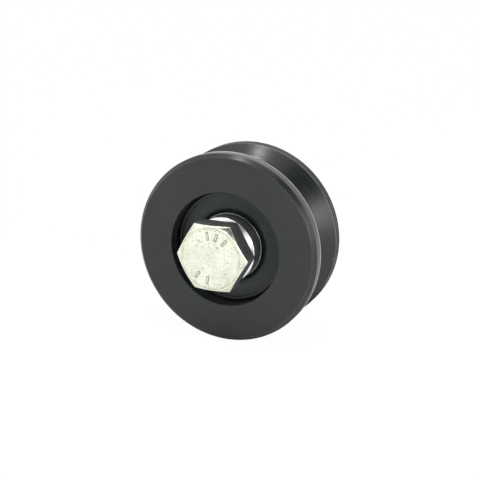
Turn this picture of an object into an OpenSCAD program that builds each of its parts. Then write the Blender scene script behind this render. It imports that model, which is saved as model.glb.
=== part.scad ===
// V groove idler wheel on a deep-groove ball bearing, with its spacers and bolt.
// The axle lies along Y and the bolt head faces -Y. The origin is on the axle, at
// the end of the rear spacer, which is the face that bears on the mounting plate.

/* [Wheel] */
// Diameter over the two lands
wheel_d = 50; // [46:0.5:60]
// Width between the flat faces
wheel_w = 20; // [18:0.5:26]
// Width of the cylindrical land on each side of the groove
land_w = 2.6; // [1.5:0.1:4]
// Width of the bevel between a flat face and its land, along the axle
bevel_w = 1.15; // [0.5:0.05:2]
// Height of that bevel, across the axle
bevel_h = 1; // [0.5:0.05:2]
// Included angle of the V groove
vee_angle = 90; // [80:1:110]
// Radius at the bottom of the groove
root_r = 1.2; // [0.6:0.1:2]
// Depth from the front face to the bearing
seat_depth = 4; // [2:0.25:5]
// Thickness of the lip that the bearing seats against
lip_w = 2; // [1:0.25:3]
// Height of that lip above the seat
lip_h = 2; // [1.2:0.1:2.5]
// Chamfer on the mouths of the bore
mouth_chamfer = 0.15; // [0.1:0.05:0.6]

/* [Bearing] */
// Bore of the inner ring
bearing_bore = 10; // [9.5:0.25:11]
// Outside diameter of the outer ring
bearing_d = 30; // [28.5:0.25:33]
// Width of both rings
bearing_w = 9; // [8.5:0.25:11.5]
// Diameter of one ball
ball_d = 4.7625; // [4.4:0.0125:4.9]
// Corner radius of the rings
ring_corner_r = 0.6; // [0.2:0.1:0.8]
// Height of the inner ring's shoulders above the innermost point of a ball
inner_shoulder = 1.23; // [0.9:0.01:1.3]
// Height of the outer ring's shoulders below the outermost point of a ball
outer_shoulder = 0.58; // [0.4:0.01:1]
// Wall of the outer ring round a seal
seal_wall = 1.05; // [0.8:0.05:1.6]
// Depth of a seal below the faces of the rings
seal_recess = 0.5; // [0.2:0.05:0.6]
// Sheet thickness of the ball cage
cage_sheet = 0.4; // [0.3:0.05:0.5]
// Diameter of the rivets in the cage
rivet_d = 0.9; // [0.7:0.05:1]

/* [Spacers] */
// Outside diameter of both spacers
spacer_d = 17.5; // [16:0.1:18]
// How far the rim of the front spacer stands out of the front face
front_proud = 0.6; // [0.2:0.1:3]
// How far the rear spacer stands out of the rear face
rear_proud = 0.6; // [0.2:0.1:6]
// Chamfer on the outer edges of the spacers
spacer_chamfer = 0.1; // [0.05:0.05:0.6]
// Rise of the front spacer's tapered face from its rim to its seat
taper_h = 0.5; // [0.1:0.1:1]
// Height of that raised seat, which the bolt head bears on
seat_h = 0.7; // [0.2:0.1:2]
// How far that seat lies inside the washer face of the bolt head
seat_inset = 0.8; // [0.2:0.1:1.5]

/* [Bolt] */
// Length under the head
bolt_l = 40; // [34:1:60]
// Width across the flats of the head
head_af = 17; // [16:0.1:18]
// Height of the head
head_h = 6.4; // [5.5:0.1:8]
// Height of the round washer face under the hexagon, part of the head's height
washer_face_h = 0.9; // [0.2:0.1:1.2]
// How far the flat circles on both ends of the head lie inside its flats
face_inset = 0.5; // [0.2:0.1:1.2]
// Depth of the run-out between the plain shank and the thread
neck_depth = 0.65; // [0.3:0.05:1]
// Length of the run-out
neck_l = 1; // [0.6:0.1:3]
// Chamfer on the end of the thread
tip_chamfer = 1.5; // [0.5:0.1:2]

/* [Clearances] */
// Radial gap between the bolt and the bore of the bearing
shank_gap = 0.05; // [0.02:0.01:0.1]
// Radial gap between the crests of the thread and the bore of the bearing
crest_gap = 0.075; // [0.05:0.005:0.2]
// Radial gap between the bolt and the bores of the spacers
spacer_gap = 0.15; // [0.05:0.05:0.3]
// Gap between a ball and each raceway
race_gap = 0.02; // [0.01:0.01:0.04]
// Gap between a ball and its pocket in the cage
pocket_gap = 0.07; // [0.03:0.01:0.1]
// Gap between the cage and each ring
cage_gap = 0.3; // [0.2:0.05:0.4]
// Gap between the cage and each seal
seal_space = 0.35; // [0.2:0.05:0.5]
// Gap between the lip of a seal and the inner ring
seal_gap = 0.12; // [0.05:0.01:0.2]

/* [Hidden] */
$fn = 96;
ball_count = 8;
chamfer_angle = 30;    // slope of the chamfer on the bolt head
conformity = 0.52;     // raceway radius as a share of the ball's diameter
hook_depth = 0.2;      // how far the seal's rim snaps into the outer ring
hook_w = 0.4;          // width of that rim
bead_r = 0.3;          // section radius of the bead on a seal
bead_h = 0.12;         // height of the bead
bead_out = 0.3;        // how far the bead runs outside the circle of the balls
lip_step = 0.15;       // how far the seal's lip lies below its web
lip_band = 0.9;        // radial width of that lip
notch_w = 0.8;         // width of the groove that the seal's lip runs over
notch_depth = 0.2;
rivet_head_d = 1.5;
rivet_head_h = 0.35;
eps = 0.01;

// Places along the axle, measured from the mounting face
rear_face = -rear_proud;
front_face = rear_face - wheel_w;
bearing_front = front_face + seat_depth;
bearing_rear = bearing_front + bearing_w;
bearing_mid = (bearing_front + bearing_rear) / 2;
lip_end = bearing_rear + lip_w;
spacer_front = front_face - front_proud;
taper_front = spacer_front - taper_h;
stack_front = taper_front - seat_h;        // face that the bolt head clamps
hex_rear = stack_front - washer_face_h;
head_face = stack_front - head_h;
tip = stack_front + bolt_l;

// The V groove
wheel_r = wheel_d / 2;
groove_mid = (front_face + rear_face) / 2;
mouth_w = wheel_w - 2 * (bevel_w + land_w);
half_vee = vee_angle / 2;
apex_r = wheel_r - mouth_w / 2 / tan(half_vee);       // where the two walls would meet
root_centre_r = apex_r + root_r / sin(half_vee);
root_touch_r = root_centre_r - root_r * sin(half_vee);
root_touch_h = root_r * cos(half_vee);

// The bearing, measured from its own middle
half_w = bearing_w / 2;
pitch_r = (bearing_bore + bearing_d) / 4;
ball_r = ball_d / 2;
pocket_r = ball_r + pocket_gap;
race_r = conformity * ball_d;
outer_race_centre = pitch_r + ball_r + race_gap - race_r;
inner_race_centre = pitch_r - ball_r - race_gap + race_r;
inner_land_r = pitch_r - ball_r + inner_shoulder;
outer_land_r = pitch_r + ball_r - outer_shoulder;
cage_inner_r = inner_land_r + cage_gap;
cage_outer_r = outer_land_r - cage_gap;
seal_seat_r = bearing_d / 2 - seal_wall;
seal_lip_r = inner_land_r + seal_gap;
seal_top = half_w - seal_recess;
seal_bottom = pocket_r + cage_sheet + seal_space;
ball_step = 360 / ball_count;

// The bolt passes through the bearing's bore
shank_r = bearing_bore / 2 - shank_gap;
thread_r = bearing_bore / 2 - crest_gap;
neck_r = bearing_bore / 2 - neck_depth;
head_face_r = head_af / 2 - face_inset;
seat_r = head_face_r - seat_inset;

// Turns a profile of [radius, place along the axle] about the axle
module turned() {
    rotate([-90, 0, 0]) rotate_extrude() children();
}

// Puts children modelled about Z, at height zero, at a place along the axle
module on_axle(place, facing = 1) {
    translate([0, place, 0]) rotate([-90 * facing, 0, 0]) children();
}

// Rectangle from radius r1 to r2 and from a to b along the axle
module band(r1, r2, a, b) {
    translate([r1, a]) square([r2 - r1, b - a]);
}

// Triangle that takes a chamfer off a corner: dr and da say which way the metal lies
module corner_cut(r, place, dr, da) {
    polygon([[r - dr * eps, place - da * eps], [r + dr, place - da * eps],
             [r + dr, place], [r, place + da], [r - dr * eps, place + da]]);
}

module wheel_blank() {
    polygon([
        [bearing_d / 2, front_face],
        [wheel_r - bevel_h, front_face],
        [wheel_r, front_face + bevel_w],
        [wheel_r, rear_face - bevel_w],
        [wheel_r - bevel_h, rear_face],
        [bearing_d / 2, rear_face]
    ]);
}

module vee_groove() {
    polygon([
        [wheel_r, groove_mid - mouth_w / 2],
        [root_touch_r, groove_mid - root_touch_h],
        [root_touch_r, groove_mid + root_touch_h],
        [wheel_r, groove_mid + mouth_w / 2],
        [wheel_r + root_r, groove_mid + mouth_w / 2],
        [wheel_r + root_r, groove_mid - mouth_w / 2]
    ]);
    translate([root_centre_r, groove_mid]) circle(root_r);
}

module wheel() {
    color([0.16, 0.16, 0.16]) turned() {
        difference() {
            wheel_blank();
            vee_groove();
            corner_cut(bearing_d / 2, front_face, mouth_chamfer, mouth_chamfer);
            corner_cut(bearing_d / 2, rear_face, mouth_chamfer, -mouth_chamfer);
        }
        band(bearing_d / 2 - lip_h, bearing_d / 2 + eps, bearing_rear, lip_end);
    }
}

// One end of a ring's outer or inner wall with its corner rounded off, h > 0 side
module rounded_end(wall_r, side) {
    translate([wall_r - side * ring_corner_r, half_w - ring_corner_r])
        difference() {
            band(side > 0 ? 0 : -ring_corner_r - eps, side > 0 ? ring_corner_r + eps : 0,
                 0, ring_corner_r + eps);
            circle(ring_corner_r);
        }
}

module both_ends() {
    children();
    mirror([0, 1]) children();
}

module bearing_outer_ring() {
    color("silver") translate([0, bearing_mid, 0]) turned() difference() {
        band(outer_land_r, bearing_d / 2, -half_w, half_w);
        translate([outer_race_centre, 0]) circle(race_r);
        both_ends() {
            rounded_end(bearing_d / 2, 1);
            band(outer_land_r - eps, seal_seat_r, seal_bottom, half_w + eps);
            band(seal_seat_r - eps, seal_seat_r + hook_depth,
                 seal_bottom, seal_bottom + hook_w);
        }
    }
}

module bearing_inner_ring() {
    color("silver") translate([0, bearing_mid, 0]) turned() difference() {
        band(bearing_bore / 2, inner_land_r, -half_w, half_w);
        translate([inner_race_centre, 0]) circle(race_r);
        both_ends() {
            rounded_end(bearing_bore / 2, -1);
            band(inner_land_r - notch_depth, inner_land_r + eps,
                 seal_bottom, seal_bottom + notch_w);
        }
    }
}

module seal() {
    color([0.23, 0.23, 0.24]) rotate_extrude() {
        difference() {
            band(seal_lip_r, seal_seat_r, seal_bottom, seal_top);
            band(seal_lip_r - eps, seal_lip_r + lip_band, seal_top - lip_step, seal_top + eps);
        }
        band(seal_seat_r - eps, seal_seat_r + hook_depth, seal_bottom, seal_bottom + hook_w);
        translate([pitch_r + bead_out, seal_top + bead_h - bead_r]) circle(bead_r);
    }
}

module seal_front() { on_axle(bearing_mid, -1) seal(); }
module seal_rear() { on_axle(bearing_mid) seal(); }

// Copies children to each ball's place on the pitch circle, or to half a step on
module on_pitch_circle(offset = 0) {
    for (i = [0:ball_count - 1])
        rotate([0, 0, (i + offset) * ball_step]) translate([pitch_r, 0, 0]) children();
}

module cage_tube(from, to) {
    translate([0, 0, from]) difference() {
        cylinder(r = cage_outer_r, h = to - from);
        translate([0, 0, -eps]) cylinder(r = cage_inner_r, h = to - from + 2 * eps);
    }
}

// Cups of the ribbon cage, each pressed out round half of a ball
module cage_cups() {
    difference() {
        intersection() {
            cage_tube(0, pocket_r + cage_sheet);
            on_pitch_circle() sphere(pocket_r + cage_sheet);
        }
        on_pitch_circle() sphere(pocket_r);
    }
}

// Flat webs between the cups, with a rivet hole in each
module cage_webs() {
    difference() {
        cage_tube(0, cage_sheet);
        on_pitch_circle() sphere(pocket_r + cage_sheet / 2);
        on_pitch_circle(0.5) translate([0, 0, -eps])
            cylinder(d = rivet_d, h = cage_sheet + 2 * eps);
    }
}

module cage_half() {
    color("goldenrod") {
        cage_cups();
        cage_webs();
    }
}

module cage_front() { on_axle(bearing_mid, -1) cage_half(); }
module cage_rear() { on_axle(bearing_mid) cage_half(); }

module rivet_head() {
    dome_r = (pow(rivet_head_d / 2, 2) + pow(rivet_head_h, 2)) / (2 * rivet_head_h);
    intersection() {
        translate([0, 0, cage_sheet + rivet_head_h - dome_r]) sphere(dome_r);
        translate([0, 0, cage_sheet]) cylinder(d = rivet_head_d + eps, h = rivet_head_h);
    }
}

module cage_rivets() {
    color("silver") on_axle(bearing_mid) on_pitch_circle(0.5) {
        translate([0, 0, -cage_sheet]) cylinder(d = rivet_d, h = 2 * cage_sheet);
        rivet_head();
        mirror([0, 0, 1]) rivet_head();
    }
}

module ball(i) {
    color("gainsboro") on_axle(bearing_mid)
        rotate([0, 0, (i - 1) * ball_step]) translate([pitch_r, 0, 0]) sphere(ball_r);
}

module spacer(from, to) {
    color([0.62, 0.62, 0.6]) turned() difference() {
        band(shank_r + spacer_gap, spacer_d / 2, from, to);
        corner_cut(spacer_d / 2, from, -spacer_chamfer, spacer_chamfer);
        corner_cut(spacer_d / 2, to, -spacer_chamfer, -spacer_chamfer);
    }
}

module front_spacer() {
    spacer(spacer_front, bearing_front);
    bore_r = shank_r + spacer_gap;
    rim_r = spacer_d / 2 - spacer_chamfer;
    color([0.62, 0.62, 0.6]) turned() polygon([
        [bore_r, stack_front],
        [seat_r, stack_front],
        [seat_r, taper_front],
        [rim_r, spacer_front],
        [rim_r, spacer_front + eps],
        [bore_r, spacer_front + eps]
    ]);
}

module rear_spacer() {
    spacer(bearing_rear, 0);
}

// Hexagon with two corners on X, cut back at the corners of its outer face
module bolt_head() {
    corner_r = head_af / 2 / cos(30);
    slope = tan(chamfer_angle);
    intersection() {
        on_axle(hex_rear, -1) cylinder(r = corner_r, h = hex_rear - head_face, $fn = 6);
        turned() polygon([
            [0, hex_rear],
            [corner_r + eps, hex_rear],
            [corner_r + eps, head_face + (corner_r + eps - head_face_r) * slope],
            [head_face_r, head_face],
            [0, head_face]
        ]);
    }
}

module hex_bolt() {
    color([0.85, 0.84, 0.74]) {
        bolt_head();
        turned() polygon([
            [0, hex_rear - eps],
            [head_face_r, hex_rear - eps],
            [head_face_r, stack_front],
            [shank_r, stack_front],
            [shank_r, -neck_l],
            [neck_r, -neck_l],
            [neck_r, 0],
            [thread_r, 0],
            [thread_r, tip - tip_chamfer],
            [thread_r - tip_chamfer, tip],
            [0, tip]
        ]);
    }
}

wheel();
bearing_outer_ring();
bearing_inner_ring();
seal_front();
seal_rear();
cage_front();
cage_rear();
cage_rivets();
for (i = [1:ball_count])
    ball(i);
front_spacer();
rear_spacer();
hex_bolt();
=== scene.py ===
import math

import bmesh
import bpy
from mathutils import Matrix, Vector


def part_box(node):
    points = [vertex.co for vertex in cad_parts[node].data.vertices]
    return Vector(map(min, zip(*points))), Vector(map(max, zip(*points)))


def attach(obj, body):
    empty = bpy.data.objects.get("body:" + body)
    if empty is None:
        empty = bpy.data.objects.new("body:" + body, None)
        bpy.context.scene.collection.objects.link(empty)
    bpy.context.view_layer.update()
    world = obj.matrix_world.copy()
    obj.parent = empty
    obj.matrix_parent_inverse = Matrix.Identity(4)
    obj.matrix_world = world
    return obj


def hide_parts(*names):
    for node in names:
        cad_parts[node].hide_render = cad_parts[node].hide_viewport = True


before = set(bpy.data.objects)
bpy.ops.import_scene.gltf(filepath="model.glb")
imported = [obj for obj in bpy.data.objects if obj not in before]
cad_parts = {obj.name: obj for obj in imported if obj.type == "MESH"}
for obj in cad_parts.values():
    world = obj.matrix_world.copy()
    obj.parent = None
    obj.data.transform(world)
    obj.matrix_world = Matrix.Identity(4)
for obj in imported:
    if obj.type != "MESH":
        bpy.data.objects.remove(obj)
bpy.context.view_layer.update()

mm = 0.001
turn = 2 * math.pi
axle = Vector((0, 1, 0))
weldDistance = 1e-7
sameDistance = 2e-6

# places along the axle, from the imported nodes
wheelFront, wheelRear = (corner.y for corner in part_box("wheel"))
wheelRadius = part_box("wheel")[1].x
ringFront, ringRear = (corner.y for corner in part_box("bearing_outer_ring"))
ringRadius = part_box("bearing_outer_ring")[1].x
ringMiddle = (ringFront + ringRear) / 2
headFace, boltTip = (corner.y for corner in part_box("hex_bolt"))
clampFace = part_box("front_spacer")[0].y
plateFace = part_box("rear_spacer")[1].y
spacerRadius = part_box("front_spacer")[1].x


camera = {
    "azimuth": 24.12, "elevation": 17.04, "distance": 0.2463,
    "focalLength": 71.62, "sensor": 36, "shift": (0.0303, 0.0184),
    "aim": (0, -0.01945, 0), "clip": (0.01, 50),
}


def direction(azimuth, elevation):
    a, e = math.radians(azimuth), math.radians(elevation)
    return Vector((math.sin(a) * math.cos(e), -math.cos(a) * math.cos(e), math.sin(e)))


def placeCamera():
    data = bpy.data.cameras.new("studioCamera")
    data.lens = camera["focalLength"]
    data.sensor_width = camera["sensor"]
    data.shift_x, data.shift_y = camera["shift"]
    data.clip_start, data.clip_end = camera["clip"]
    holder = bpy.data.objects.new("studioCamera", data)
    bpy.context.scene.collection.objects.link(holder)
    back = direction(camera["azimuth"], camera["elevation"])
    holder.location = Vector(camera["aim"]) + back * camera["distance"]
    holder.rotation_mode = "QUATERNION"
    holder.rotation_quaternion = (-back).to_track_quat("-Z", "Y")
    bpy.context.scene.camera = holder


placeCamera()
bpy.context.scene.view_settings.view_transform = "Standard"
bpy.context.scene.view_settings.look = "None"
print("camera placed")


class Wire:
    # an output socket that takes part in sums
    def __init__(self, board, socket):
        self.board = board
        self.socket = socket

    def pick(self, name):
        return Wire(self.board, self.socket.node.outputs[name])

    def sum(self, operation, *values):
        return self.board.add("ShaderNodeMath", {"operation": operation}, dict(enumerate(values)))

    def __add__(self, other):
        return self.sum("ADD", self, other)

    def __radd__(self, other):
        return self.sum("ADD", other, self)

    def __sub__(self, other):
        return self.sum("SUBTRACT", self, other)

    def __rsub__(self, other):
        return self.sum("SUBTRACT", other, self)

    def __mul__(self, other):
        return self.sum("MULTIPLY", self, other)

    def __rmul__(self, other):
        return self.sum("MULTIPLY", other, self)

    def __truediv__(self, other):
        return self.sum("DIVIDE", self, other)

    def __pow__(self, other):
        return self.sum("POWER", self, other)

    def __abs__(self):
        return self.sum("ABSOLUTE", self)

    def least(self, other):
        return self.sum("MINIMUM", self, other)

    def most(self, other):
        return self.sum("MAXIMUM", self, other)

    def ease(self, start, end):
        # 0 before start, 1 after end, smooth between
        return self.board.add("ShaderNodeMapRange", {"interpolation_type": "SMOOTHSTEP"},
                              {"Value": self, "From Min": start, "From Max": end})


class Board:
    # the node tree of one finish
    def __init__(self, tree):
        self.tree = tree

    def add(self, kind, settings=None, inputs=None, output=0):
        node = self.tree.nodes.new(kind)
        for name, value in (settings or {}).items():
            if name == "stops":
                ramp = node.color_ramp
                while len(ramp.elements) < len(value):
                    ramp.elements.new(0.5)
                for element, (position, colour) in zip(ramp.elements, value):
                    element.position, element.color = position, colour
            else:
                setattr(node, name, value)
        for name, value in (inputs or {}).items():
            if isinstance(value, Wire):
                self.tree.links.new(value.socket, node.inputs[name])
            else:
                node.inputs[name].default_value = value
        return Wire(self, node.outputs[output]) if len(node.outputs) else None

    def blend(self, share, first, second, kind="MIX"):
        return self.add("ShaderNodeMix", {"data_type": "RGBA", "blend_type": kind},
                        {0: share, 6: first, 7: second}, output=2)

    def noise(self, vector, scale, detail=2.0, roughness=0.5):
        return self.add("ShaderNodeTexNoise", None,
                        {"Vector": vector, "Scale": scale, "Detail": detail, "Roughness": roughness})

    def joined(self, x, y, z):
        return self.add("ShaderNodeCombineXYZ", None, {0: x, 1: y, 2: z})


def grey(value, warmth=0.0):
    return (value * (1 + warmth), value, value * (1 - warmth), 1)


def newFinish(name):
    material = bpy.data.materials.new(name)
    material.use_nodes = True
    tree = material.node_tree
    tree.nodes.clear()
    board = Board(tree)
    return material, board


def finishWith(board, shader):
    board.add("ShaderNodeOutputMaterial", None, {"Surface": shader})


def turnedCoordinates(board):
    # object coordinates, and the radius and place along the axle that turned marks follow
    place = board.add("ShaderNodeTexCoord").pick("Object")
    axes = board.add("ShaderNodeSeparateXYZ", None, {0: place})
    x, y, z = axes.pick("X"), axes.pick("Y"), axes.pick("Z")
    radius = (x * x + z * z) ** 0.5
    return place, radius, y


def nearCircle(radius, along, circleRadius, circlePlace, reach):
    # 1 on a circle of the turned form, falling to 0 at reach
    across = ((radius - circleRadius) ** 2 + (along - circlePlace) ** 2) ** 0.5
    return 1 - across.ease(0, reach)


studio = {
    "floorHalf": 6.0, "floorColour": 0.92, "floorRoughness": 0.9, "floorGlow": 0.96, "glowStrength": 1.02,
    # painted shadow: the contact keys paint a dark patch into the floor's colour under the wheel
    "paintedShadowColour": 0.2, "paintedShadowCentre": (-4 * mm, -6 * mm), "paintedShadowReach": (26 * mm, 14 * mm),
    "paintedShadowEdge": (0.6, 1.4),
    # painted shade: the back keys darken the floor's colour behind the wheel
    "paintedBackShadeColour": 0.5, "paintedBackShadeReach": (-20 * mm, 40 * mm), "paintedBackShadeSide": (-10 * mm, 20 * mm),
}
sky = {
    "strength": 1.47,
    "shadeDirections": ((59, 45), (41, 44), (20, 38), (3, 28)), "shade": 0.04, "shadeEdge": (0.93, 0.975),
    "zenithFade": 0.18, "zenithEdge": (0.5, 1),
    "backFade": 0.45, "backEdge": (0.1, 0.7), "backSideEdge": (-0.3, 0.2),
    "sideFade": 0.38, "sideEdge": (0.45, 0.85),
}
lights = {
    "overheadPanel": {
        "azimuth": -36, "elevation": 73, "distance": 0.6, "size": (0.08, 0.08), "power": 0.48,
    },
    "sidePanel": {
        "azimuth": 60, "elevation": 11, "distance": 0.6, "size": (0.14, 0.2), "power": 0.65,
    },
}


def layFloor():
    bm = bmesh.new()
    bmesh.ops.create_grid(bm, x_segments=2, y_segments=2, size=studio["floorHalf"])
    bmesh.ops.translate(bm, verts=bm.verts, vec=(0, 0, -wheelRadius))
    mesh = bpy.data.meshes.new("floor")
    bm.to_mesh(mesh)
    bm.free()
    floor = bpy.data.objects.new("floor", mesh)
    bpy.context.scene.collection.objects.link(floor)
    material, board = newFinish("floorPaper")
    axes = board.add("ShaderNodeSeparateXYZ", None, {0: board.add("ShaderNodeTexCoord").pick("Object")})
    x, y = axes.pick("X"), axes.pick("Y")
    # painted shadow: the floor's colour darkens to a dark patch under the wheel, standing in for the
    # wheel's shade
    centreX, centreY = studio["paintedShadowCentre"]
    reachX, reachY = studio["paintedShadowReach"]
    away = ((x - centreX) / reachX) ** 2 + ((y - centreY) / reachY) ** 2
    # painted shade: the floor behind the wheel takes a darker grey, standing in for the wheel's shadow
    back = y.ease(*studio["paintedBackShadeReach"]) * (1 - x.ease(*studio["paintedBackShadeSide"]))
    tone = board.blend(back, grey(studio["floorColour"]), grey(studio["paintedBackShadeColour"]))
    tone = board.blend(away.ease(*studio["paintedShadowEdge"]), grey(studio["paintedShadowColour"]), tone)
    paper = board.add("ShaderNodeBsdfPrincipled", None,
                      {"Base Color": tone, "Roughness": studio["floorRoughness"]})
    glow = board.add("ShaderNodeEmission", None,
                     {"Color": grey(1.0), "Strength": studio["glowStrength"]})
    seen = board.add("ShaderNodeLightPath").pick("Is Camera Ray")
    finishWith(board, board.add("ShaderNodeMixShader", None,
                                {0: seen * studio["floorGlow"], 1: paper, 2: glow}))
    mesh.materials.append(material)


def lightWorld():
    world = bpy.data.worlds.new("studioWorld")
    bpy.context.scene.world = world
    world.use_nodes = True
    world.node_tree.nodes.clear()
    board = Board(world.node_tree)
    ray = board.add("ShaderNodeTexCoord").pick("Generated")
    shaded = None
    for side in sky["shadeDirections"]:
        facing = board.add("ShaderNodeVectorMath", {"operation": "DOT_PRODUCT"},
                           {0: ray, 1: direction(*side)}, output="Value")
        part = facing.ease(*sky["shadeEdge"])
        shaded = part if shaded is None else shaded.most(part)
    axes = board.add("ShaderNodeSeparateXYZ", None, {0: ray})
    overhead = axes.pick("Z").ease(*sky["zenithEdge"])
    behind = axes.pick("Y").ease(*sky["backEdge"]) * axes.pick("X").ease(*sky["backSideEdge"])
    aside = (0 - axes.pick("X")).ease(*sky["sideEdge"])
    strength = sky["strength"] * (1 - overhead * sky["zenithFade"])
    strength = strength * (1 - behind * sky["backFade"]) * (1 - aside * sky["sideFade"])
    strength = strength * (1 - shaded * (1 - sky["shade"]))
    seen = board.add("ShaderNodeLightPath").pick("Is Camera Ray")
    strength = strength * (1 - seen) + seen
    background = board.add("ShaderNodeBackground", None, {"Color": grey(1.0), "Strength": strength})
    board.add("ShaderNodeOutputWorld", None, {"Surface": background})


def hangLights():
    for name, panel in lights.items():
        data = bpy.data.lights.new(name, "AREA")
        data.shape = "RECTANGLE"
        data.size, data.size_y = panel["size"]
        data.energy = panel["power"]
        holder = bpy.data.objects.new(name, data)
        bpy.context.scene.collection.objects.link(holder)
        back = direction(panel["azimuth"], panel["elevation"])
        holder.location = Vector((0, ringMiddle, 0)) + back * panel["distance"]
        holder.rotation_mode = "QUATERNION"
        holder.rotation_quaternion = back.to_track_quat("Z", "Y")
        holder.visible_camera = False


layFloor()
lightWorld()
hangLights()
print("floor and lights placed")


def turnProfile(bm, profile, steps, closed=True):
    # profile is (radius, place along the axle), turned once round the axle
    points = [bm.verts.new((radius, place, 0)) for radius, place in profile]
    following = points[1:] + points[:1] if closed else points[1:]
    edges = [bm.edges.new(pair) for pair in zip(points, following)]
    bmesh.ops.spin(bm, geom=points + edges, cent=(0, 0, 0), axis=axle, dvec=(0, 0, 0),
                   angle=turn, steps=steps, use_merge=True, use_duplicate=False)
    bmesh.ops.remove_doubles(bm, verts=bm.verts, dist=weldDistance)
    bmesh.ops.recalc_face_normals(bm, faces=bm.faces)


def circleEdges(bm, radius, place):
    def onCircle(vert):
        offRadius = abs(math.hypot(vert.co.x, vert.co.z) - radius)
        return offRadius < sameDistance and abs(vert.co.y - place) < sameDistance
    return [edge for edge in bm.edges if onCircle(edge.verts[0]) and onCircle(edge.verts[1])]


def roundEdges(bm, edges, width, segments=3):
    bmesh.ops.bevel(bm, geom=edges, offset=width, offset_type="OFFSET", segments=segments,
                    profile=0.5, affect="EDGES", material=-1)


def finishPiece(name, bm, material, body, slot, *nodes):
    bmesh.ops.recalc_face_normals(bm, faces=bm.faces)
    for face in bm.faces:
        face.smooth = True
    mesh = bpy.data.meshes.new(name)
    bm.to_mesh(mesh)
    bm.free()
    piece = bpy.data.objects.new(name, mesh)
    bpy.context.scene.collection.objects.link(piece)
    mesh.materials.append(material)
    shading = piece.modifiers.new("evenShading", "WEIGHTED_NORMAL")
    shading.weight = 100
    shading.keep_sharp = True
    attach(piece, body)
    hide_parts(*nodes)
    print(name, "made with", len(mesh.polygons), "faces")


wheel = {
    "steps": 256, "land": 2.6 * mm, "bevelWidth": 1.15 * mm, "bevelHeight": 1.0 * mm,
    "rootRadius": 1.2 * mm, "lipWidth": 2 * mm, "lipHeight": 2 * mm, "mouthChamfer": 0.15 * mm,
    "edgeBreak": 0.1 * mm, "mouthBreak": 0.05 * mm, "lipBreak": 0.2 * mm,
    "darkTone": (0.0115, 0.0145, 0.0155, 1), "lightTone": (0.0165, 0.019, 0.0185, 1),
    "rubbedTone": (0.1, 0.1, 0.092, 1), "wornTone": (0.21, 0.21, 0.18, 1),
    "brightTone": (0.66, 0.66, 0.62, 1), "rubbed": 0.45, "worn": 0.8, "bevelWorn": 0.25,
    "brightReach": 0.5 * mm, "wornReach": 0.35 * mm, "bevelWornReach": 0.2 * mm,
}


def blackWheelFinish():
    material, board = newFinish("blackenedSteel")
    place, radius, along = turnedCoordinates(board)
    marks = board.noise(board.joined(radius, along, 0), 5200, 3)
    broad = board.noise(board.joined(radius, along, 0), 900, 2)
    cloud = board.noise(place, 90, 4, 0.6)
    grain = board.noise(place, 1600, 3, 0.6)
    landFront = wheelFront + wheel["bevelWidth"]
    landRear = wheelRear - wheel["bevelWidth"]
    # bright bare steel at the front edge of the groove, faint wear at three more circles
    mouth = nearCircle(radius, along, wheelRadius, landFront + wheel["land"], wheel["brightReach"])
    mouth = (mouth * 1.7).least(1) * cloud.ease(0.28, 0.48)
    worn = nearCircle(radius, along, wheelRadius - wheel["bevelHeight"], wheelFront,
                      wheel["bevelWornReach"]) * wheel["bevelWorn"]
    for circlePlace in (landRear - wheel["land"], landRear - wheel["land"] / 2):
        worn = worn.most(nearCircle(radius, along, wheelRadius, circlePlace, wheel["wornReach"]))
    worn = worn * cloud.ease(0.3, 0.55) * wheel["worn"]
    land = (radius - wheelRadius).ease(-0.15 * mm, -0.03 * mm)
    rearLand = land * along.ease(landRear - wheel["land"] * 1.5, landRear - wheel["land"])
    rubbed = (land - rearLand) * wheel["rubbed"]
    base = board.blend(cloud.ease(0.3, 0.7), wheel["darkTone"], wheel["lightTone"])
    base = board.blend(rubbed, base, wheel["rubbedTone"])
    base = board.blend(worn, base, wheel["wornTone"])
    base = board.blend(mouth, base, wheel["brightTone"])
    rough = 0.27 + (cloud - 0.5) * 0.12 + (broad - 0.5) * 0.1 + rubbed * 0.25 + rearLand * 0.6
    rough = rough - mouth * 0.1
    height = marks * 0.6 + grain * 0.4
    bump = board.add("ShaderNodeBump", None, {"Strength": 0.08, "Distance": 0.00004, "Height": height})
    shader = board.add("ShaderNodeBsdfPrincipled", None,
                       {"Base Color": base, "Metallic": mouth * 0.85, "Roughness": rough, "Normal": bump,
                        "IOR": 1.5})
    finishWith(board, shader)
    return material


def makeWheel():
    bm = bmesh.new()
    landFront = wheelFront + wheel["bevelWidth"]
    landRear = wheelRear - wheel["bevelWidth"]
    faceRadius = wheelRadius - wheel["bevelHeight"]
    mouthFront, mouthRear = landFront + wheel["land"], landRear - wheel["land"]
    halfMouth = (mouthRear - mouthFront) / 2
    apex = (wheelRadius - halfMouth, mouthFront + halfMouth)
    lipRadius = ringRadius - wheel["lipHeight"]
    lipEnd = ringRear + wheel["lipWidth"]
    chamfer = wheel["mouthChamfer"]
    profile = [
        (ringRadius, wheelFront + chamfer), (ringRadius + chamfer, wheelFront),
        (faceRadius, wheelFront), (wheelRadius, landFront), (wheelRadius, mouthFront), apex,
        (wheelRadius, mouthRear), (wheelRadius, landRear), (faceRadius, wheelRear),
        (ringRadius + chamfer, wheelRear), (ringRadius, wheelRear - chamfer),
        (ringRadius, lipEnd), (lipRadius, lipEnd), (lipRadius, ringRear), (ringRadius, ringRear),
    ]
    turnProfile(bm, profile, wheel["steps"])
    roundEdges(bm, circleEdges(bm, *apex), wheel["rootRadius"], 8)
    for corner in profile[2:5] + profile[6:9]:
        roundEdges(bm, circleEdges(bm, *corner), wheel["edgeBreak"])
    for corner in profile[:2] + profile[9:11]:
        roundEdges(bm, circleEdges(bm, *corner), wheel["mouthBreak"], 2)
    roundEdges(bm, circleEdges(bm, lipRadius, lipEnd), wheel["lipBreak"])
    finishPiece("grooved_wheel", bm, blackWheelFinish(), "wheel_body", "black_wheel", "wheel")


makeWheel()


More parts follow.
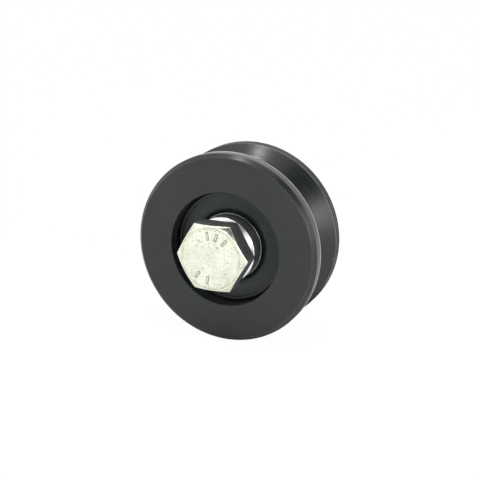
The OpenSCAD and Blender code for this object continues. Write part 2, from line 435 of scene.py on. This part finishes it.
bearing = {
    "steps": 192, "bore": 5 * mm, "outerLand": 11.80125 * mm, "innerLand": 8.84875 * mm,
    "corner": 0.6 * mm, "raceRadius": 2.4765 * mm,
    "outerRaceCentre": 9.92475 * mm, "innerRaceCentre": 10.07525 * mm,
    "sealSeat": 13.95 * mm, "sealBottom": 3.20125 * mm, "sealTop": 4.0 * mm,
    "hookDepth": 0.2 * mm, "hookWidth": 0.4 * mm, "notchWidth": 0.8 * mm, "notchDepth": 0.2 * mm,
    "halfWidth": 4.5 * mm, "lip": 8.96875 * mm, "lipBand": 0.9 * mm, "lipStep": 0.15 * mm,
    "beadPlace": 10.3 * mm, "beadRadius": 0.3 * mm, "beadHeight": 0.12 * mm,
    "seatBreak": 0.08 * mm, "landBreak": 0.06 * mm, "sealBreak": 0.06 * mm,
    "rubberDark": (0.013, 0.0185, 0.0185, 1), "rubberLight": (0.019, 0.026, 0.026, 1),
}


def ringFinish(name, tone, roughness, metal):
    material, board = newFinish(name)
    place, radius, along = turnedCoordinates(board)
    marks = board.noise(board.joined(radius, along, 0), 7000, 3)
    cloud = board.noise(place, 160, 3, 0.6)
    base = board.blend(cloud, grey(tone * 0.85, 0.01), grey(tone * 1.1, 0.03))
    rough = roughness + (cloud - 0.5) * 0.12 + (marks - 0.5) * 0.08
    bump = board.add("ShaderNodeBump", None, {"Strength": 0.1, "Distance": 0.00003, "Height": marks})
    shader = board.add("ShaderNodeBsdfPrincipled", None,
                       {"Base Color": base, "Metallic": metal, "Roughness": rough, "Normal": bump})
    finishWith(board, shader)
    return material


def raceArc(centre, outward, land, points=12):
    # the raceway's section from one shoulder to the other, as (radius, place from the middle)
    radius = bearing["raceRadius"]
    reach = math.acos(abs(land - centre) / radius)
    side = 1 if outward else -1
    return [(centre + side * radius * math.cos(reach * share), radius * math.sin(reach * share))
            for share in (1 - 2 * step / points for step in range(points + 1))]


def makeOuterRing():
    b = bearing
    corner = b["halfWidth"]
    end = [
        (b["outerLand"], b["sealBottom"]), (b["sealSeat"] + b["hookDepth"], b["sealBottom"]),
        (b["sealSeat"] + b["hookDepth"], b["sealBottom"] + b["hookWidth"]),
        (b["sealSeat"], b["sealBottom"] + b["hookWidth"]), (b["sealSeat"], corner),
        (ringRadius, corner),
    ]
    race = raceArc(b["outerRaceCentre"], True, b["outerLand"])
    section = end + [(radius, -place) for radius, place in reversed(end)] + list(reversed(race))
    section = [(radius, ringMiddle + place) for radius, place in section]
    bm = bmesh.new()
    turnProfile(bm, section, b["steps"])
    for side in (-1, 1):
        roundEdges(bm, circleEdges(bm, ringRadius, ringMiddle + side * corner), b["corner"], 5)
        roundEdges(bm, circleEdges(bm, b["sealSeat"], ringMiddle + side * corner), b["seatBreak"])
    finishPiece("outer_ring", bm, ringFinish("blackenedRing", 0.016, 0.3, 0.0), "wheel_body",
                       "ring_steel", "bearing_outer_ring")


def makeInnerRing():
    b = bearing
    corner = b["halfWidth"]
    end = [
        (b["innerLand"], b["sealBottom"]), (b["innerLand"] - b["notchDepth"], b["sealBottom"]),
        (b["innerLand"] - b["notchDepth"], b["sealBottom"] + b["notchWidth"]),
        (b["innerLand"], b["sealBottom"] + b["notchWidth"]), (b["innerLand"], corner),
        (b["bore"], corner),
    ]
    race = raceArc(b["innerRaceCentre"], False, b["innerLand"])
    section = end + [(radius, -place) for radius, place in reversed(end)] + list(reversed(race))
    section = [(radius, ringMiddle + place) for radius, place in section]
    bm = bmesh.new()
    turnProfile(bm, section, b["steps"])
    for side in (-1, 1):
        roundEdges(bm, circleEdges(bm, b["bore"], ringMiddle + side * corner), b["corner"], 5)
        roundEdges(bm, circleEdges(bm, b["innerLand"], ringMiddle + side * corner), b["landBreak"])
    finishPiece("inner_ring", bm, ringFinish("groundSteel", 0.55, 0.28, 1.0), "axle",
                       "ring_steel", "bearing_inner_ring")


def sealFinish():
    material, board = newFinish("sealRubber")
    place, radius, along = turnedCoordinates(board)
    cloud = board.noise(place, 180, 4, 0.6)
    grain = board.noise(place, 3500, 3, 0.6)
    marks = board.noise(board.joined(radius, along, 0), 2500, 2)
    base = board.blend(cloud, bearing["rubberDark"], bearing["rubberLight"])
    rough = 0.46 + (cloud - 0.5) * 0.15
    height = marks * 0.5 + grain * 0.5
    bump = board.add("ShaderNodeBump", None, {"Strength": 0.15, "Distance": 0.00004, "Height": height})
    shader = board.add("ShaderNodeBsdfPrincipled", None,
                       {"Base Color": base, "Roughness": rough, "Normal": bump})
    finishWith(board, shader)
    return material


def makeSeal(name, side, material, node):
    b = bearing
    step = b["lip"] + b["lipBand"]
    crown = b["sealTop"] + b["beadHeight"]
    section = [
        (b["lip"], b["sealBottom"]), (b["sealSeat"] + b["hookDepth"], b["sealBottom"]),
        (b["sealSeat"] + b["hookDepth"], b["sealBottom"] + b["hookWidth"]),
        (b["sealSeat"], b["sealBottom"] + b["hookWidth"]), (b["sealSeat"], b["sealTop"]),
    ]
    # the bead is the top of a round section
    half = math.acos(1 - b["beadHeight"] / b["beadRadius"])
    centre = crown - b["beadRadius"]
    section += [(b["beadPlace"] + b["beadRadius"] * math.sin(half * share),
                 centre + b["beadRadius"] * math.cos(half * share))
                for share in (1, 0.66, 0.33, 0, -0.33, -0.66, -1)]
    section += [(step, b["sealTop"]), (step, b["sealTop"] - b["lipStep"]),
                (b["lip"], b["sealTop"] - b["lipStep"])]
    bm = bmesh.new()
    turnProfile(bm, [(radius, ringMiddle + side * place) for radius, place in section], b["steps"])
    for radius, place in ((b["sealSeat"], b["sealTop"]), (step, b["sealTop"])):
        roundEdges(bm, circleEdges(bm, radius, ringMiddle + side * place), b["sealBreak"])
    finishPiece(name, bm, material, "wheel_body", "seal_rubber", node)


makeOuterRing()
makeInnerRing()
rubber = sealFinish()
makeSeal("front_seal", -1, rubber, "seal_front")
makeSeal("rear_seal", 1, rubber, "seal_rear")


spacer = {
    "steps": 160, "bore": 5.1 * mm, "chamfer": 0.1 * mm, "edgeBreak": 0.03 * mm,
    "seatRadius": 7.2 * mm, "seatHeight": 0.7 * mm, "taper": 0.5 * mm,
    "tone": 0.95, "roughness": 0.3,
}


def spacerFinish():
    material, board = newFinish("spacerPlating")
    place = board.add("ShaderNodeTexCoord").pick("Object")
    cloud = board.noise(place, 220, 5, 0.62)
    speck = board.noise(place, 1400, 4, 0.65)
    pitted = speck.ease(0.56, 0.66) * cloud.ease(0.35, 0.6)
    base = board.blend(cloud.ease(0.3, 0.7), grey(spacer["tone"] * 0.9), grey(spacer["tone"]))
    rough = spacer["roughness"] + (cloud - 0.5) * 0.2 + pitted * 0.15
    height = speck * 0.6 + cloud * 0.4 - pitted * 0.5
    bump = board.add("ShaderNodeBump", None, {"Strength": 0.25, "Distance": 0.00005, "Height": height})
    shader = board.add("ShaderNodeBsdfPrincipled", None,
                       {"Base Color": base, "Metallic": 1.0, "Roughness": rough, "Normal": bump})
    finishWith(board, shader)
    return material


def makeSpacer(name, start, end, nose, material, node):
    # the nose is a tapered face with a raised seat for the bolt's head
    cut = spacer["chamfer"]
    rim = [
        (spacerRadius - cut, start), (spacerRadius, start + cut),
        (spacerRadius, end - cut), (spacerRadius - cut, end),
    ]
    front = start
    seat = []
    if nose:
        front = start - spacer["taper"] - spacer["seatHeight"]
        seat = [(spacer["seatRadius"], front), (spacer["seatRadius"], start - spacer["taper"])]
    bore = [(spacer["bore"], end), (spacer["bore"], front)]
    bm = bmesh.new()
    turnProfile(bm, seat + rim + bore, spacer["steps"])
    for corner in seat[:1] + rim:
        roundEdges(bm, circleEdges(bm, *corner), spacer["edgeBreak"], 2)
    finishPiece(name, bm, material, "axle", "plated_spacer", node)


spacerPlating = spacerFinish()
makeSpacer("clamp_spacer", clampFace + spacer["seatHeight"] + spacer["taper"], ringFront, True,
           spacerPlating, "front_spacer")
makeSpacer("plate_spacer", ringRear, plateFace, False, spacerPlating, "rear_spacer")


bolt = {
    "steps": 192, "flats": 17 * mm, "corners": 19.58 * mm, "faceCircle": 16 * mm, "chamferAngle": 30,
    "washerHeight": 0.9 * mm, "edgeBreak": 0.12 * mm, "flatArea": 20 * mm * mm,
    "shank": 4.95 * mm, "neck": 4.35 * mm, "neckLength": 1 * mm, "overlap": 0.5 * mm,
    "pitch": 1.5 * mm, "major": 4.925 * mm, "depthShare": 0.6134, "flankAngle": 30,
    "threadSteps": 96, "tipChamfer": 1.5 * mm,
    "tickRadius": 5.8 * mm, "tickSize": (0.42 * mm, 0.2 * mm, 1.8 * mm), "tickBreak": 0.07 * mm,
    "tickAngles": (98, 74, 50, 232, 262),
    "dullTone": (0.81, 0.82, 0.68, 1), "brightTone": (0.925, 0.94, 0.8, 1),
    "pitTone": (0.36, 0.34, 0.25, 1), "stainTone": (0.6, 0.58, 0.45, 1),
    # painted shade: the side tone darkens the head's sides, and the outline tone draws dark shading lines
    # round the face and ticks
    "paintedSideShadeTone": (0.37, 0.39, 0.4, 1), "paintedOutlineShadeTone": (0.2, 0.19, 0.15, 1),
    "pits": 0.6, "stains": 0.55, "side": 0.92, "roughness": 0.4, "chamferPolish": 0.22,
}


def boltFinish():
    # pale zinc plate, with painted shade darkening the head's sides and a painted shading line round its
    # face and round each tick
    material, board = newFinish("boltPlating")
    place, radius, along = turnedCoordinates(board)
    axes = board.add("ShaderNodeSeparateXYZ", None, {0: place})
    x, z = axes.pick("X"), axes.pick("Z")
    cloud = board.noise(place, 260, 5, 0.62)
    speck = board.noise(place, 1500, 4, 0.65)
    patches = board.noise(place, 420, 3, 0.7)
    circle = bolt["faceCircle"] / 2
    slope = math.tan(math.radians(bolt["chamferAngle"]))
    behind = (along - headFace) - (radius - circle).most(0) * slope
    # painted shade: the head's sides take a darker grey than the face, though they are the same plating
    side = behind.ease(0.03 * mm, 0.15 * mm) * (1 - along.ease(clampFace - 0.3 * mm, clampFace))
    # painted shading line: a dark ring round the face's edge and round each raised tick
    paintedOutlineShade = nearCircle(radius, along, circle, headFace, 0.17 * mm)
    paintedOutlineShade = paintedOutlineShade * (0.3 + cloud.ease(0.4, 0.6) * 0.4)
    stained = nearCircle(radius, along, circle - 0.3 * mm, headFace, 0.6 * mm)
    stained = stained * patches.ease(0.4, 0.6)
    width, _, length = bolt["tickSize"]
    for angle in bolt["tickAngles"]:
        a = math.radians(angle)
        outward = x * math.cos(a) + z * math.sin(a)
        across = z * math.cos(a) - x * math.sin(a)
        away = (abs(outward - bolt["tickRadius"]) - length / 2).most(abs(across) - width / 2)
        stroke = (1 - abs(away - 0.05 * mm).ease(0.05 * mm, 0.18 * mm)) * 0.85
        paintedOutlineShade = paintedOutlineShade.most(stroke)
    paintedOutlineShade = paintedOutlineShade * (1 - side)
    pitted = speck.ease(0.55, 0.62) * patches.ease(0.4, 0.55)
    base = board.blend(cloud.ease(0.35, 0.65), bolt["dullTone"], bolt["brightTone"])
    base = board.blend(pitted * bolt["pits"], base, bolt["pitTone"])
    base = board.blend(stained * bolt["stains"], base, bolt["stainTone"])
    # painted shade on the head's sides
    base = board.blend(side * bolt["side"], base, bolt["paintedSideShadeTone"])
    # painted shading lines round the face and the ticks
    base = board.blend(paintedOutlineShade, base, bolt["paintedOutlineShadeTone"])
    chamfer = (radius - circle).ease(0.05 * mm, 0.2 * mm) * (1 - side)
    rough = bolt["roughness"] - chamfer * bolt["chamferPolish"] + (cloud - 0.5) * 0.2 + pitted * 0.15
    height = speck * 0.5 + cloud * 0.5 - pitted * 0.6
    bump = board.add("ShaderNodeBump", None, {"Strength": 0.3, "Distance": 0.00005, "Height": height})
    shader = board.add("ShaderNodeBsdfPrincipled", None,
                       {"Base Color": base, "Metallic": 1.0, "Roughness": rough, "Normal": bump})
    finishWith(board, shader)
    return material


def millHead(bm):
    slope = math.tan(math.radians(bolt["chamferAngle"]))
    corner, circle = bolt["corners"] / 2, bolt["faceCircle"] / 2
    underside = clampFace - bolt["washerHeight"]
    profile = [
        (0, headFace), (circle, headFace), (corner, headFace + (corner - circle) * slope),
        (corner, underside), (0, underside),
    ]
    turnProfile(bm, profile, bolt["steps"], closed=False)
    for side in range(6):
        outward = Matrix.Rotation(math.radians(30 + 60 * side), 3, "Y") @ Vector((1, 0, 0))
        cut = bmesh.ops.bisect_plane(bm, geom=bm.verts[:] + bm.edges[:] + bm.faces[:], dist=weldDistance,
                                     plane_co=outward * bolt["flats"] / 2, plane_no=outward,
                                     clear_outer=True)
        rim = [part for part in cut["geom_cut"] if isinstance(part, bmesh.types.BMEdge)]
        bmesh.ops.edgeloop_fill(bm, edges=rim)
    bmesh.ops.recalc_face_normals(bm, faces=bm.faces)
    flats = [face for face in bm.faces
             if abs(face.normal.y) < 0.01 and face.calc_area() > bolt["flatArea"]]
    rims = {edge for face in flats for edge in face.edges
            if max(vert.co.y for vert in edge.verts) < underside - 1e-6}
    roundEdges(bm, list(rims), bolt["edgeBreak"], 2)


def raiseTicks(bm):
    # plain raised strokes round the face
    for angle in bolt["tickAngles"]:
        made = bmesh.ops.create_cube(bm, size=1)
        verts = made["verts"]
        bmesh.ops.scale(bm, verts=verts, vec=bolt["tickSize"])
        edges = {edge for vert in verts for edge in vert.link_edges}
        bmesh.ops.translate(bm, verts=verts, vec=(0, headFace, bolt["tickRadius"]))
        bmesh.ops.rotate(bm, verts=verts, cent=(0, 0, 0),
                         matrix=Matrix.Rotation(math.radians(90 - angle), 3, "Y"))
        roundEdges(bm, list(edges), bolt["tickBreak"], 2)


def turnShank(bm):
    # the shank reaches into the head and the thread, so that the shells meet inside
    sink = bolt["overlap"]
    core = bolt["neck"] - sink
    hexEnd = clampFace - bolt["washerHeight"] - sink
    profile = [
        (0, hexEnd), (bolt["faceCircle"] / 2, hexEnd), (bolt["faceCircle"] / 2, clampFace),
        (bolt["shank"], clampFace), (bolt["shank"], -bolt["neckLength"]),
        (bolt["neck"], -bolt["neckLength"]), (bolt["neck"], 0), (core, 0), (core, sink), (0, sink),
    ]
    turnProfile(bm, profile, bolt["steps"], closed=False)


def rollThread(bm):
    pitch, major = bolt["pitch"], bolt["major"]
    depth = bolt["depthShare"] * pitch
    flank = depth * math.tan(math.radians(bolt["flankAngle"]))
    crest = pitch / 8
    root = pitch - crest - 2 * flank
    places = [(major, 0), (major, crest), (major - depth, crest + flank),
              (major - depth, crest + flank + root), (major, pitch)]
    start = -2 * pitch
    turns = math.ceil((boltTip - start) / pitch) + 2
    points = [bm.verts.new((radius, start + place, 0)) for radius, place in places]
    edges = [bm.edges.new(pair) for pair in zip(points, points[1:])]
    steps = bolt["threadSteps"]
    bmesh.ops.spin(bm, geom=points + edges, cent=(0, 0, 0), axis=-axle,
                   dvec=axle * pitch / steps, angle=turn * turns, steps=steps * turns,
                   use_merge=False, use_duplicate=False)
    bmesh.ops.remove_doubles(bm, verts=bm.verts, dist=sameDistance)
    for place, outward in ((0, -axle), (boltTip, axle)):
        bmesh.ops.bisect_plane(bm, geom=bm.verts[:] + bm.edges[:] + bm.faces[:], dist=weldDistance,
                               plane_co=axle * place, plane_no=outward, clear_outer=True)
        rim = [edge for edge in bm.edges
               if edge.is_boundary and all(abs(vert.co.y - place) < 1e-6 for vert in edge.verts)]
        bmesh.ops.edgeloop_fill(bm, edges=rim)
    taperStart = boltTip - bolt["tipChamfer"]
    for vert in bm.verts:
        radius = math.hypot(vert.co.x, vert.co.z)
        limit = major - (vert.co.y - taperStart)
        if vert.co.y > taperStart and radius > limit:
            vert.co.x *= limit / radius
            vert.co.z *= limit / radius
    bmesh.ops.recalc_face_normals(bm, faces=bm.faces)


def joinShells(*makers):
    # each shell is made by itself, then they share one mesh
    whole = bmesh.new()
    for maker in makers:
        shell = bmesh.new()
        maker(shell)
        scratch = bpy.data.meshes.new("scratch")
        shell.to_mesh(scratch)
        shell.free()
        whole.from_mesh(scratch)
        bpy.data.meshes.remove(scratch)
    return whole


def makeBolt():
    bm = joinShells(millHead, raiseTicks, turnShank, rollThread)
    finishPiece("clamp_bolt", bm, boltFinish(), "axle", "plated_bolt", "hex_bolt")


makeBolt()


def dressNodes():
    finishes = {
        "ball_": ringFinish("polishedBall", 0.62, 0.08, 1.0),
        "cage_front": ringFinish("pressedCage", 0.42, 0.32, 1.0),
        "cage_rear": bpy.data.materials["pressedCage"],
        "cage_rivets": bpy.data.materials["pressedCage"],
    }
    for name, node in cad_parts.items():
        for start, material in finishes.items():
            if name.startswith(start):
                for place in node.material_slots:
                    place.material = material


dressNodes()
print("balls and cage dressed")
